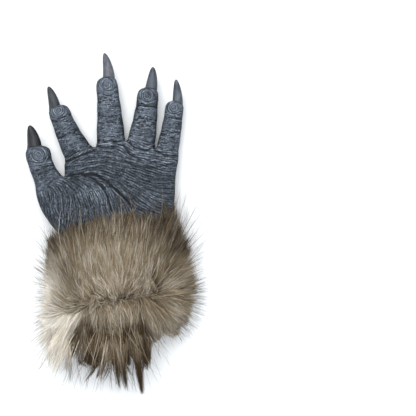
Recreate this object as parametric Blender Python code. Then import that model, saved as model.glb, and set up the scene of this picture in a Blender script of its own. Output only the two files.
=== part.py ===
"""Costume werewolf glove for the left hand, lying on its back with the palm up.

A hollow moulded latex hand with five digits, five horn-like claws seated in pockets in the
fingertips, and a long-pile fur cuff whose woven backing is glued round the latex wrist.
+Y runs from the cuff to the fingertips, +Z up out of the palm, and the thumb is on the -X side.
"""

import math
from typing import NamedTuple

import bmesh
import bpy
from mathutils import Vector

MM = 0.001

# Latex hand
PALM_WIDTH = 121 * MM
PALM_LENGTH = 139 * MM
WRIST_WIDTH = 112 * MM
WRIST_HEIGHT = 40 * MM
WRIST_RISE = 30 * MM
KNUCKLE_RISE = 16 * MM
KNUCKLE_THICKNESS = 31 * MM
LATEX_WALL = 1.6 * MM
TIP_WALL = 3.0 * MM

# Fit of one piece in another
SEAT_GAP = 0.3 * MM

# Claws
CLAW_SEAT_DEPTH = 6 * MM
CLAW_HEIGHT_SHARE = 0.86
CLAW_SIDES = 12
CLAW_PITCH_ROOT = 2
CLAW_PITCH_TIP = 30

# Fur cuff
CUFF_LENGTH = 89 * MM
CUFF_OVERLAP = 29 * MM
CUFF_BACKING = 2.0 * MM
CUFF_SLANT = 18 * MM
FUR_DEPTH = 13 * MM
FUR_THUMB_SIDE_SHARE = 0.15
FUR_LITTLE_SIDE_SHARE = 0.7
LOCK_LENGTH = 42 * MM

# An octagon of control points loses this share of its radius when it is subdivided once.
OCTAGON_LOSS = 0.075


class Digit(NamedTuple):
    """One finger or the thumb: lengths in metres, leans in degrees, positive to the little side."""

    length: float
    base_width: float
    pad_width: float
    root_lean: float
    tip_lean: float
    claw_length: float
    claw_width: float
    claw_root_lean: float
    claw_tip_lean: float
    claw_shift: float


DIGITS = {
    "thumb": Digit(51 * MM, 35 * MM, 28 * MM, -37, -3, 23 * MM, 15.0 * MM, -3, -20, -3.0 * MM),
    "index": Digit(63 * MM, 34.5 * MM, 24.5 * MM, -32, -17, 24 * MM, 12.0 * MM, -6, -24, -4.0 * MM),
    "middle": Digit(76 * MM, 34 * MM, 25 * MM, -2, -6, 27 * MM, 12.2 * MM, 0, -18, 2.5 * MM),
    "ring": Digit(65 * MM, 33 * MM, 24.5 * MM, 12, 4, 24 * MM, 12.6 * MM, 11, 1, 2.4 * MM),
    "little": Digit(60 * MM, 26.5 * MM, 21 * MM, 14, 5, 25 * MM, 10.6 * MM, 2, -9, 3.4 * MM),
}
DIGIT_THICKNESS_SHARE = 0.94
DIGIT_PITCH_ROOT = -4
DIGIT_PITCH_TIP = 14


class DigitRow(NamedTuple):
    """A ring of a digit: its station along the length, and its girth, palm and back as shares."""

    station: float
    girth: float
    palm: float
    back: float


FINGER_ROWS = (
    DigitRow(0.10, 0.95, 0.92, 0.98),
    DigitRow(0.24, 1.02, 1.06, 1.02),
    DigitRow(0.37, 0.98, 0.98, 1.03),
    DigitRow(0.42, 0.97, 0.90, 1.06),
    DigitRow(0.53, 1.02, 1.05, 0.98),
    DigitRow(0.64, 0.99, 0.95, 1.01),
    DigitRow(0.69, 0.98, 0.87, 1.03),
    DigitRow(0.78, 1.01, 1.06, 0.98),
    DigitRow(0.89, 0.99, 1.12, 0.92),
    DigitRow(0.98, 0.76, 0.88, 0.72),
)
THUMB_ROWS = (
    DigitRow(0.22, 0.92, 0.86, 0.92),
    DigitRow(0.38, 0.90, 0.84, 0.90),
    DigitRow(0.52, 0.95, 0.86, 0.92),
    DigitRow(0.61, 0.94, 0.80, 0.93),
    DigitRow(0.71, 1.03, 0.96, 0.92),
    DigitRow(0.83, 1.04, 1.04, 0.86),
    DigitRow(0.95, 0.86, 0.86, 0.70),
)
DIGIT_END = 1.02
TAPER_END = 0.7
# How many rings of a digit, counted from its tip, lie past the end of its hollow.
SOLID_TIP_COUNT = 2

# Nine lines run the length of the palm: one at each edge, one in each web, one on each finger.
PALM_LINES = (0.0, 0.12, 0.267, 0.40, 0.543, 0.674, 0.814, 0.918, 1.0)
FINGER_LINES = {name: range(2 * i, 2 * i + 3) for i, name in enumerate(list(DIGITS)[1:])}
WEB_LINES = range(2, 7, 2)
WEB_THICKNESS_SHARE = 0.62


class PalmRow(NamedTuple):
    """A ring of the palm, in shares of its length, width and heights."""

    thumb_back: float
    middle_back: float
    little_back: float
    thumb_edge: float
    little_edge: float
    to_wrist: float
    fullness: float
    thumb_mound: float
    hollow: float
    little_mound: float


PALM_ROWS = (
    PalmRow(0.160, -0.030, 0.105, 0.010, 0.990, 0.00, 1.00, 0.00, 0.00, 0.00),
    PalmRow(0.275, 0.105, 0.215, 0.030, 0.960, 0.14, 1.12, 0.02, 0.02, 0.00),
    PalmRow(0.325, 0.235, 0.300, -0.120, 0.955, 0.30, 1.06, 0.14, 0.18, 0.08),
    PalmRow(0.400, 0.365, 0.390, -0.240, 0.955, 0.46, 1.02, 0.26, 0.22, 0.14),
    PalmRow(0.530, 0.500, 0.490, -0.185, 0.945, 0.66, 1.00, 0.20, 0.12, 0.12),
    PalmRow(0.660, 0.625, 0.600, -0.075, 0.905, 0.86, 1.00, 0.04, 0.03, 0.03),
)
SLEEVE_ROWS = (0.75, 0.82, 1.00)
THUMB_ROOT_ROWS = range(1, 4)
EDGE_FULLNESS = 0.60
EDGE_BULGE = 0.055
SECTION_POWER = 2.7
SLEEVE_CENTRE = 0.44


class CuffRow(NamedTuple):
    """A ring of the cuff: its station from the hand end to the mouth, and shares of its sizes."""

    station: float
    spread: float
    depth: float
    comb: float
    lift: float
    reach: float
    fan: float
    thumb_reach: float
    little_reach: float


# comb is +1 towards the fingers and -1 towards the arm; the pile parts where an elastic gathers it.
# fan is how far the locks at the two sides turn out from +Y, in degrees; thumb_reach and
# little_reach are how long they are at the thumb's side and at the little finger's.
CUFF_ROWS = (
    CuffRow(0.00, 1.01, 0.35, 0.95, 0.22, 1.00, 4, 0.55, 1.20),
    CuffRow(0.16, 1.00, 0.85, 0.94, 0.28, 1.00, 12, 0.52, 1.00),
    CuffRow(0.34, 1.00, 1.00, 0.90, 0.34, 0.94, 45, 0.45, 0.62),
    CuffRow(0.46, 0.98, 1.00, 0.78, 0.44, 0.88, 62, 0.49, 0.68),
    CuffRow(0.57, 0.96, 0.72, 0.36, 0.60, 0.90, 84, 0.75, 1.00),
    CuffRow(0.68, 0.97, 0.82, -0.70, 0.56, 0.90, 108, 0.75, 1.05),
    CuffRow(0.84, 1.02, 0.90, -0.90, 0.40, 1.05, 120, 0.52, 0.50),
    CuffRow(1.00, 1.04, 0.50, -0.97, 0.26, 1.35, 150, 0.77, 0.25),
)
# The two narrower sections of a lock on its way to the tip: how far along, and how wide.
LOCK_STEPS = ((0.34, 0.80), (0.70, 0.46))
LOCK_DROOP = 0.18
TOP_LIFT_SHARE = 0.75
FAN_WIDTH_SHARE = 0.65
# The tail at the mouth is longest a little to the thumb side of the middle.
TAIL_CENTRE = -0.25
TAIL_SPREAD = 1.0
TAIL_SHARE = 0.95


def share_between(start, end, share):
    return start + (end - start) * share


def heading(lean, pitch):
    """The unit vector that leans from +Y towards +X and is pitched up from the floor."""
    lean, pitch = math.radians(lean), math.radians(pitch)
    flat = math.cos(pitch)
    return Vector((math.sin(lean) * flat, math.cos(lean) * flat, math.sin(pitch)))


def curved_line(start, length, leans, pitches, share, steps=24):
    """The point at a share of a line whose lean and pitch turn evenly from root to tip."""
    point = Vector(start)
    for step in range(steps):
        at = share * (step + 0.5) / steps
        direction = heading(share_between(*leans, at), share_between(*pitches, at))
        point += direction * (length * share / steps)
    return point


def join_rings(bm, first, second):
    """Quads between two rings that have the same number of vertices."""
    count = len(first)
    for i in range(count):
        j = (i + 1) % count
        bm.faces.new((first[i], first[j], second[j], second[i]))


def object_from(name, bm):
    bmesh.ops.recalc_face_normals(bm, faces=bm.faces)
    mesh = bpy.data.meshes.new(name)
    bm.to_mesh(mesh)
    bm.free()
    made = bpy.data.objects.new(name, mesh)
    bpy.context.scene.collection.objects.link(made)
    return made


def finish_material(obj, name, colour, roughness):
    material = bpy.data.materials.new(name)
    material.use_nodes = True
    shader = material.node_tree.nodes["Principled BSDF"]
    shader.inputs["Base Color"].default_value = (*colour, 1)
    shader.inputs["Roughness"].default_value = roughness
    shader.inputs["Metallic"].default_value = 0
    obj.data.materials.append(material)
    obj.data.shade_smooth()


# Palm of the latex hand


def section_height(across):
    """Height of a rounded palm section, 1 in the middle, for across from -1 to 1."""
    return max(EDGE_FULLNESS, (1 - abs(across) ** SECTION_POWER) ** (1 / SECTION_POWER))


def mound(share, centre, spread):
    """A smooth bump over the palm lines, 1 at its centre and 0 outside its spread."""
    away = min(1, abs(share - centre) / spread)
    return 0.5 + 0.5 * math.cos(math.pi * away)


def palm_ring_points(row):
    """The points of one palm ring: nine over the palm, one at the little edge, nine under it, one at the thumb edge."""
    rise = share_between(KNUCKLE_RISE, WRIST_RISE, row.to_wrist)
    half = share_between(KNUCKLE_THICKNESS, WRIST_HEIGHT, row.to_wrist) / 2 * row.fullness
    left, right = (edge * PALM_WIDTH for edge in (row.thumb_edge, row.little_edge))
    over, under = [], []
    for number, share in enumerate(PALM_LINES):
        x = share_between(left, right, share) - PALM_WIDTH / 2
        side_back = row.thumb_back if share < 0.5 else row.little_back
        back = share_between(row.middle_back, side_back, abs(2 * share - 1) ** 1.5)
        height = half * section_height(2 * share - 1)
        if row is PALM_ROWS[0] and number in WEB_LINES:
            height *= WEB_THICKNESS_SHARE
        relief = row.thumb_mound * mound(share, 0.15, 0.30)
        relief += row.little_mound * mound(share, 0.86, 0.26)
        relief -= row.hollow * mound(share, 0.50, 0.34)
        y = -back * PALM_LENGTH
        over.append(Vector((x, y, rise + height + relief * half)))
        under.append(Vector((x, y, rise - height)))
    bulge = EDGE_BULGE * PALM_WIDTH
    little = (over[-1] + under[-1]) / 2 + Vector((bulge, 0, 0))
    thumb = (over[0] + under[0]) / 2 - Vector((bulge, 0, 0))
    return over, little, under, thumb


def sleeve_ring_points(back):
    """The points of the straight wrist sleeve that the cuff is glued round."""
    centre = (SLEEVE_CENTRE - 0.5) * PALM_WIDTH
    half_width = WRIST_WIDTH / 2
    over, under = [], []
    for share in PALM_LINES:
        across = 0.93 * (2 * share - 1)
        height = WRIST_HEIGHT / 2 * section_height(2 * share - 1)
        x = centre + across * half_width
        over.append(Vector((x, -back * PALM_LENGTH, WRIST_RISE + height)))
        under.append(Vector((x, -back * PALM_LENGTH, WRIST_RISE - height)))
    y = -back * PALM_LENGTH
    little = Vector((centre + half_width * 1.01, y, WRIST_RISE))
    thumb = Vector((centre - half_width * 1.01, y, WRIST_RISE))
    return over, little, under, thumb


class PalmRing:
    """The vertices of a palm ring, looked up by the line that they are on."""

    def __init__(self, bm, points):
        over, little, under, thumb = points
        self.over = [bm.verts.new(point) for point in over]
        self.under = [bm.verts.new(point) for point in under]
        self.edges = {0: bm.verts.new(thumb), len(over) - 1: bm.verts.new(little)}
        self.webs = {}

    def around(self):
        last = len(self.over) - 1
        return [*self.over, self.edges[last], *reversed(self.under), self.edges[0]]

    def root_of(self, lines, bm):
        """The eight vertices that a finger grows from, with a middle vertex in each web."""
        first, middle, last = lines
        for line in (first, last):
            if line not in self.edges and line not in self.webs:
                at = (self.over[line].co + self.under[line].co) / 2
                self.webs[line] = bm.verts.new(at)
        between = {**self.webs, **self.edges}
        over = [self.over[line] for line in (first, middle, last)]
        under = [self.under[line] for line in (last, middle, first)]
        return [*over, between[last], *under, between[first]]


def build_palm(bm):
    """Lofts the palm and the wrist sleeve, open at both ends and where the thumb grows."""
    rings = [PalmRing(bm, palm_ring_points(row)) for row in PALM_ROWS]
    rings += [PalmRing(bm, sleeve_ring_points(back)) for back in SLEEVE_ROWS]
    first, _, last = THUMB_ROOT_ROWS
    for number, (ring, following) in enumerate(zip(rings, rings[1:])):
        near, far = ring.around(), following.around()
        count = len(near)
        for i in range(count):
            j = (i + 1) % count
            at_thumb_edge = i >= count - 2
            if first <= number < last and at_thumb_edge:
                continue
            bm.faces.new((near[i], near[j], far[j], far[i]))
    return rings


def thumb_root(rings):
    """The eight vertices round the opening at the palm's thumb edge, index side first."""
    index_side, middle, outer_side = (rings[number] for number in THUMB_ROOT_ROWS)
    over = [ring.over[0] for ring in (index_side, middle, outer_side)]
    under = [ring.under[0] for ring in (outer_side, middle, index_side)]
    return [*over, outer_side.edges[0], *under, index_side.edges[0]]


# Digits of the latex hand


def mean_point(vertices):
    return sum((vertex.co for vertex in vertices), Vector()) / len(vertices)


def digit_point(root, digit, share):
    leans = (digit.root_lean, digit.tip_lean)
    return curved_line(root, digit.length, leans, (DIGIT_PITCH_ROOT, DIGIT_PITCH_TIP), share)


def digit_ring_points(root, name, row):
    digit = DIGITS[name]
    centre = digit_point(root, digit, row.station)
    lean = math.radians(share_between(digit.root_lean, digit.tip_lean, row.station))
    across = Vector((math.cos(lean), -math.sin(lean), 0))
    if name == "thumb":
        across = -across
    tapered = min(1, row.station / TAPER_END)
    half_width = share_between(digit.base_width, digit.pad_width, tapered) / 2 / (1 - OCTAGON_LOSS)
    half_height = half_width * DIGIT_THICKNESS_SHARE
    across = across * half_width * row.girth
    over = Vector((0, 0, half_height * row.palm))
    under = Vector((0, 0, -half_height * row.back))
    diagonal = math.sqrt(0.5)
    return [
        centre - across * diagonal + over * diagonal,
        centre + over,
        centre + across * diagonal + over * diagonal,
        centre + across,
        centre + across * diagonal + under * diagonal,
        centre + under,
        centre - across * diagonal + under * diagonal,
        centre - across,
    ]


def cap_ring(bm, ring, tip):
    """Four quads from an eight-sided ring to one vertex at the tip."""
    for i in range(0, 8, 2):
        bm.faces.new((ring[i], ring[(i + 1) % 8], tip, ring[(i - 1) % 8]))


def build_digit(bm, root_ring, name):
    """Lofts a digit from its root ring; returns its rings and the vertex at its tip."""
    root = mean_point(root_ring)
    rings = [root_ring]
    for row in THUMB_ROWS if name == "thumb" else FINGER_ROWS:
        points = digit_ring_points(root, name, row)
        rings.append([bm.verts.new(point) for point in points])
        join_rings(bm, rings[-2], rings[-1])
    tip = bm.verts.new(digit_point(root, DIGITS[name], DIGIT_END))
    cap_ring(bm, rings[-1], tip)
    return rings, tip


def build_cage():
    """The control cage of the hand's outer skin, and the vertices of its digits and wrist."""
    bm = bmesh.new()
    palm = build_palm(bm)
    roots = {name: palm[0].root_of(lines, bm) for name, lines in FINGER_LINES.items()}
    roots["thumb"] = thumb_root(palm)
    digits = {name: build_digit(bm, roots[name], name) for name in DIGITS}
    bmesh.ops.recalc_face_normals(bm, faces=bm.faces)
    bm.verts.index_update()
    return bm, palm, digits


# Shell of the latex hand


def subdivided(cage):
    """The cage's smooth skin. Its first vertices are the cage's own, moved onto the skin."""
    mesh = bpy.data.meshes.new("cage")
    cage.to_mesh(mesh)
    holder = bpy.data.objects.new("cage", mesh)
    bpy.context.scene.collection.objects.link(holder)
    smooth = holder.modifiers.new("smooth", "SUBSURF")
    smooth.levels = smooth.render_levels = 1
    graph = bpy.context.evaluated_depsgraph_get()
    skin = bpy.data.meshes.new_from_object(holder.evaluated_get(graph))
    bpy.data.objects.remove(holder)
    return skin


def add_inner_wall(bm, skin, cage, digits):
    """Adds the hollow's wall to the skin: the cage's faces a wall's thickness inside it."""
    inner = {}
    for vertex in cage.verts:
        on_skin = skin.vertices[vertex.index]
        inner[vertex.index] = bm.verts.new(on_skin.co - on_skin.normal * LATEX_WALL)
    beyond = set()
    for rings, tip in digits.values():
        closing = rings[-1 - SOLID_TIP_COUNT]
        for ring in rings[len(rings) - SOLID_TIP_COUNT :]:
            beyond.update(vertex.index for vertex in ring)
        at = sum((inner[vertex.index].co for vertex in closing), Vector()) / len(closing)
        inner[tip.index].co = at
        cap_ring(bm, [inner[vertex.index] for vertex in closing], inner[tip.index])
    tips = {tip.index for _, tip in digits.values()}
    for face in cage.faces:
        numbers = [vertex.index for vertex in face.verts]
        if not beyond.intersection(numbers) and not tips.intersection(numbers):
            bm.faces.new([inner[number] for number in reversed(numbers)])
    for number in beyond:
        bm.verts.remove(inner[number])
    return inner


def rim_walk(bm, cage_ring):
    """For each cage vertex of the wrist rim, the skin's vertex halfway to the next one."""
    numbers = [vertex.index for vertex in cage_ring]
    halfway = []
    for number, following in zip(numbers, numbers[1:] + numbers[:1]):
        start, end = bm.verts[number], bm.verts[following]
        near_start = {edge.other_vert(start) for edge in start.link_edges}
        near_end = {edge.other_vert(end) for edge in end.link_edges}
        halfway.append((near_start & near_end).pop())
    return halfway


def build_hand():
    """The hollow latex hand, and the ring of points round the outside of its wrist sleeve."""
    cage, palm, digits = build_cage()
    skin = subdivided(cage)
    bm = bmesh.new()
    bm.from_mesh(skin)
    bm.verts.ensure_lookup_table()
    rim = palm[-1].around()
    halfway = rim_walk(bm, rim)
    sleeve = []
    for vertex, between in zip(rim, halfway):
        sleeve += [bm.verts[vertex.index].co.copy(), between.co.copy()]
    inner = add_inner_wall(bm, skin, cage, digits)
    bm.verts.ensure_lookup_table()
    count = len(rim)
    for i in range(count):
        start, end = rim[i].index, rim[(i + 1) % count].index
        rim_face = (bm.verts[start], halfway[i], bm.verts[end], inner[end], inner[start])
        bm.faces.new(rim_face)
    tip_points = {name: digit_tip(digits[name][0][0], name) for name in DIGITS}
    cage.free()
    bpy.data.meshes.remove(skin)
    bmesh.ops.triangulate(bm, faces=[face for face in bm.faces if len(face.verts) > 4])
    hand = object_from("hand", bm)
    finish_material(hand, "latex", (0.09, 0.11, 0.13), 0.7)
    return hand, sleeve, tip_points


def digit_tip(root_ring, name):
    return digit_point(mean_point(root_ring), DIGITS[name], 1.0)


# Claws


def claw_girth(share):
    """Half-width of a claw as a share of its root's, full at the root and blunt at the tip."""
    return (1 - max(0, share) ** 1.2) ** 0.5


def claw_rings(tip_point, digit, grow, end):
    """Rings from the claw's seat in the fingertip to a share of its length, grown by a clearance."""
    lean = math.radians(digit.tip_lean)
    across = Vector((math.cos(lean), -math.sin(lean), 0))
    along = heading(digit.tip_lean, 0)
    half_height = digit.claw_width / 2 * CLAW_HEIGHT_SHARE
    start = tip_point + across * digit.claw_shift - along * CLAW_SEAT_DEPTH
    start.z -= digit.pad_width / 2 - half_height - TIP_WALL
    leans = (digit.claw_root_lean, digit.claw_tip_lean)
    pitches = (CLAW_PITCH_ROOT, CLAW_PITCH_TIP)
    length = digit.claw_length + CLAW_SEAT_DEPTH
    seat = CLAW_SEAT_DEPTH / length
    shares = [-grow / length, seat, *(share_between(seat, 1, s) for s in (0.18, 0.38, 0.58))]
    shares += [share_between(seat, 1, s) for s in (0.76, 0.89, 0.97)]
    rings = []
    for share in [value for value in shares if value <= end]:
        centre = curved_line(start, length, leans, pitches, share)
        direction = heading(share_between(*leans, share), share_between(*pitches, share))
        side = direction.cross(Vector((0, 0, 1))).normalized()
        up = side.cross(direction)
        girth = claw_girth((share - seat) / (1 - seat))
        ring = []
        for i in range(CLAW_SIDES):
            turn = 2 * math.pi * i / CLAW_SIDES
            sideways = math.cos(turn) * (digit.claw_width / 2 * girth + grow)
            upwards = math.sin(turn) * (half_height * girth + grow)
            ring.append(centre + side * sideways + up * upwards)
        rings.append(ring)
    return rings, curved_line(start, length, leans, pitches, min(1, end))


def claw_solid(name, tip_point, digit, grow=0.0, end=1.0):
    bm = bmesh.new()
    rings, tip = claw_rings(tip_point, digit, grow, end)
    made = [[bm.verts.new(point) for point in ring] for ring in rings]
    for ring, following in zip(made, made[1:]):
        join_rings(bm, ring, following)
    bm.faces.new(list(reversed(made[0])))
    top = bm.verts.new(tip)
    last = made[-1]
    for i, vertex in enumerate(last):
        bm.faces.new((vertex, last[(i + 1) % len(last)], top))
    return object_from(name, bm)


def cut_pocket(hand, name, tip_point, digit):
    """Cuts the seat of one claw into its fingertip, with a gap all round."""
    cutter = claw_solid(f"pocket_{name}", tip_point, digit, SEAT_GAP)
    cutter.hide_render = True
    cutter.display_type = "WIRE"
    cut = hand.modifiers.new(f"pocket_{name}", "BOOLEAN")
    cut.operation = "DIFFERENCE"
    cut.solver = "EXACT"
    cut.object = cutter
    return cutter


def build_claws(hand, tip_points):
    """One claw for each digit, and the pocket that it sits in."""
    claws, cutters = [], []
    for name, digit in DIGITS.items():
        claw = claw_solid(f"claw_{name}", tip_points[name], digit)
        finish_material(claw, f"horn_{name}", (0.13, 0.13, 0.14), 0.42)
        claws.append(claw)
        cutters.append(cut_pocket(hand, name, tip_points[name], digit))
    return claws, cutters


# Fur cuff


def outward_normals(points):
    """The direction away from the wrist, in the plane of the ring, at each of its points."""
    count = len(points)
    found = []
    for i in range(count):
        along = points[(i + 1) % count] - points[i - 1]
        found.append(Vector((along.z, 0, -along.x)).normalized())
    centre = sum(points, Vector()) / count
    facing = sum((point - centre).dot(normal) for point, normal in zip(points, found))
    return found if facing > 0 else [-normal for normal in found]


def cuff_station(sleeve, row):
    """Where a cuff ring lies along Y, before its slant."""
    hand_end = sleeve[0].y + CUFF_OVERLAP
    return hand_end - row.station * CUFF_LENGTH


def cuff_ring_points(sleeve, row):
    """The inner and outer points of one cuff ring; the floor flattens the pile under it."""
    centre = sum(sleeve, Vector()) / len(sleeve)
    inner, outer = [], []
    for point, normal in zip(sleeve, outward_normals(sleeve)):
        across = (point.x - centre.x) / (WRIST_WIDTH / 2)
        slant = CUFF_SLANT * across * (1 - across) / 2 * (1 - row.station)
        y = cuff_station(sleeve, row) + slant
        spread = centre + (point - centre) * row.spread
        at = Vector((spread.x, y, spread.z)) + normal * SEAT_GAP
        side_share = FUR_LITTLE_SIDE_SHARE if across > 0 else FUR_THUMB_SIDE_SHARE
        thickness = CUFF_BACKING + FUR_DEPTH * row.depth * (1 + side_share * across**4)
        out = at + normal * thickness
        out.z = max(out.z, 0)
        inner.append(at)
        outer.append(out)
    return inner, outer


def sideways(normal):
    """How far a face of the pile looks to a side: 0 on top and underneath, 1 at the edges."""
    return normal.x**4


def lock_course(normal, row, low):
    """Where a lock's tip lies from its root, as a share of its length, and never down into the floor."""
    direction = normal * row.lift + Vector((0, row.comb, 0))
    direction.z = max(direction.z, 0) if low else direction.z * TOP_LIFT_SHARE
    fan = math.radians(row.fan)
    fanned = Vector((math.copysign(math.sin(fan) * FAN_WIDTH_SHARE, normal.x), math.cos(fan), 0))
    return direction.lerp(fanned, sideways(normal))


def grow_lock(bm, face, row, length, low):
    """Draws one face of the pile out into a tapering, drooping lock of hair."""
    normal = face.normal.copy()
    normal.y = 0
    normal.normalize()
    root = face.calc_center_median()
    direction = lock_course(normal, row, low)
    droop = Vector((0, 0, 0 if low else -LOCK_DROOP * length))
    offsets = [vertex.co - root for vertex in face.verts]
    for share, width in LOCK_STEPS:
        face = bmesh.ops.extrude_discrete_faces(bm, faces=[face])["faces"][0]
        centre = root + direction * length * share + droop * share * share
        for vertex, offset in zip(face.verts, offsets):
            vertex.co = centre + offset * width
    face = bmesh.ops.extrude_discrete_faces(bm, faces=[face])["faces"][0]
    tip = root + direction * length + droop
    bmesh.ops.pointmerge(bm, verts=face.verts, merge_co=tip)


def build_cuff(sleeve):
    """The woven backing as an open tube, with the pile's locks fused to its outside."""
    bm = bmesh.new()
    rings = [cuff_ring_points(sleeve, row) for row in CUFF_ROWS]
    inner = [[bm.verts.new(point) for point in ring[0]] for ring in rings]
    outer = [[bm.verts.new(point) for point in ring[1]] for ring in rings]
    join_rings(bm, inner[0], outer[0])
    join_rings(bm, outer[-1], inner[-1])
    for ring, following in zip(inner, inner[1:]):
        join_rings(bm, following, ring)
    pile = []
    for row, following_row, ring, following in zip(CUFF_ROWS, CUFF_ROWS[1:], outer, outer[1:]):
        before = set(bm.faces)
        join_rings(bm, ring, following)
        between = CuffRow(*(share_between(a, b, 0.5) for a, b in zip(row, following_row)))
        faces = [face for face in bm.faces if face not in before]
        pile.append((between, faces))
    bmesh.ops.recalc_face_normals(bm, faces=bm.faces)
    centre = sum(sleeve, Vector()) / len(sleeve)
    for number, (row, faces) in enumerate(pile):
        for column, face in enumerate(faces):
            at = face.calc_center_median()
            flattened = all(vertex.co.z < 1 * MM for vertex in face.verts)
            if flattened or (column + number) % 2:
                continue
            across = (at.x - centre.x) / (WRIST_WIDTH / 2)
            on_top = row.reach
            if row.comb < 0:
                on_top *= 1 + TAIL_SHARE * (mound(across, TAIL_CENTRE, TAIL_SPREAD) - 0.5)
            at_side = row.little_reach if across > 0 else row.thumb_reach
            length = LOCK_LENGTH * share_between(on_top, at_side, sideways(face.normal))
            length *= 0.90 + 0.12 * math.sin(2.3 * column + 1.7 * number)
            grow_lock(bm, face, row, length, at.z < centre.z)
    bmesh.ops.triangulate(bm, faces=bm.faces)
    cuff = object_from("fur_cuff", bm)
    finish_material(cuff, "fur", (0.27, 0.22, 0.17), 0.9)
    return cuff


# Place on the floor


def lowest_and_highest(objects):
    graph = bpy.context.evaluated_depsgraph_get()
    points = []
    for obj in objects:
        evaluated = obj.evaluated_get(graph)
        mesh = evaluated.to_mesh()
        points += [evaluated.matrix_world @ vertex.co for vertex in mesh.vertices]
        evaluated.to_mesh_clear()
    low = Vector(min(point[axis] for point in points) for axis in range(3))
    high = Vector(max(point[axis] for point in points) for axis in range(3))
    return low, high


def stand_on_origin(pieces, helpers):
    """Parents everything to one empty, placed so that the origin is under the glove's middle."""
    glove = bpy.data.objects.new("glove", None)
    bpy.context.scene.collection.objects.link(glove)
    for obj in pieces + helpers:
        obj.parent = glove
    low, high = lowest_and_highest(pieces)
    glove.location = (-(low.x + high.x) / 2, -(low.y + high.y) / 2, -low.z)


def main():
    for obj in list(bpy.data.objects):
        bpy.data.objects.remove(obj)
    hand, sleeve, tip_points = build_hand()
    claws, cutters = build_claws(hand, tip_points)
    cuff = build_cuff(sleeve)
    stand_on_origin([hand, *claws, cuff], cutters)


main()
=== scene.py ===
"""Looks of the werewolf glove: wrinkled latex hand, horn-like claws and a long-pile fur cuff."""

import math

import bmesh
import bpy
import numpy as np
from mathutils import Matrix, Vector
from mathutils.bvhtree import BVHTree
from mathutils.kdtree import KDTree


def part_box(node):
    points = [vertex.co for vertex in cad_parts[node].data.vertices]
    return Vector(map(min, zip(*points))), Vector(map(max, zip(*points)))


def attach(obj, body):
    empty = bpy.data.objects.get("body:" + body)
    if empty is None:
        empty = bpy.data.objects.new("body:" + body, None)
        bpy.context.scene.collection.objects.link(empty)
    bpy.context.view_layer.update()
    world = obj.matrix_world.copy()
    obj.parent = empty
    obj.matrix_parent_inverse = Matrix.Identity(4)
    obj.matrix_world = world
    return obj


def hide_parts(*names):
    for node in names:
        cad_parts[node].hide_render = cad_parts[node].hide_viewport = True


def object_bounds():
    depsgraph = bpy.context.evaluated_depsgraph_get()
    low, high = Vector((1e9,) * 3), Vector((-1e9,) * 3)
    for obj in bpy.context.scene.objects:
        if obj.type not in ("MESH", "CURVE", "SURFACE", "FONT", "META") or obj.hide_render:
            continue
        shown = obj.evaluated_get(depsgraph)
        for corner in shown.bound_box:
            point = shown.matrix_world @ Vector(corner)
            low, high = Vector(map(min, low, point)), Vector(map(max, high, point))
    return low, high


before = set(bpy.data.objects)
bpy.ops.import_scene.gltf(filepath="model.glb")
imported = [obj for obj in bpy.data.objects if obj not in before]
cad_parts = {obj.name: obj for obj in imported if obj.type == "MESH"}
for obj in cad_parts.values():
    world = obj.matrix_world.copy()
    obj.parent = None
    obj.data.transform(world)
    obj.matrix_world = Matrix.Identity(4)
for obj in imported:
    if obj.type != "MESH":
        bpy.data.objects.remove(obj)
cad_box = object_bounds()

# The hand: one hollow shell of moulded latex, painted slate grey and dry-brushed lighter.
# Its mould gives it whorls on the pads, rings round the digits and lines that fan over the palm.
# It replaces the CAD hand, whose outer skin it subdivides; the lining stays as the CAD has it.

MM = 0.001
CELL = 0.35 * MM
# Each digit's root, middle and tip, and its widths at both ends, in mm; then its pad's station
# from 0 at the root to 1 at the tip, and how much longer than wide its whorl is.
DIGIT_LINES = {
    "thumb": ((-65.4, 30.7), (-77.2, 53.0), (-81.2, 77.5), 33, 28.5, 0.78, 1.0),
    "index": ((-34.8, 63.9), (-49.5, 91.6), (-59.8, 120.6), 32, 25.5, 0.91, 1.0),
    "middle": ((-1.5, 77.4), (-3.4, 115.3), (-6.1, 152.7), 32.5, 25.5, 0.87, 1.2),
    "ring": ((31.0, 76.7), (36.5, 108.6), (39.6, 140.5), 31.5, 25, 0.86, 1.1),
    "little": ((59.6, 67.2), (65.3, 96.5), (68.8, 125.9), 26, 21.5, 0.88, 1.1),
}
# Creases across each digit: the station along it, and depth and half-width in mm.
JOINT_CREASES = {
    "thumb": ((0.46, 0.5, 1.1), (0.10, 0.25, 1.2)),
    "index": ((0.77, 0.55, 1.0), (0.55, 0.5, 0.8), (0.46, 0.7, 1.0), (0.12, 0.6, 1.0)),
    "middle": ((0.64, 0.6, 1.1), (0.41, 0.5, 0.8), (0.33, 0.5, 0.9), (0.06, 0.7, 1.0)),
    "ring": ((0.68, 0.6, 1.1), (0.45, 0.8, 1.0), (0.38, 0.5, 0.8), (0.06, 0.5, 1.0)),
    "little": ((0.68, 0.55, 1.0), (0.42, 0.6, 0.9), (0.34, 0.4, 0.8), (0.08, 0.5, 1.0)),
}
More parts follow.
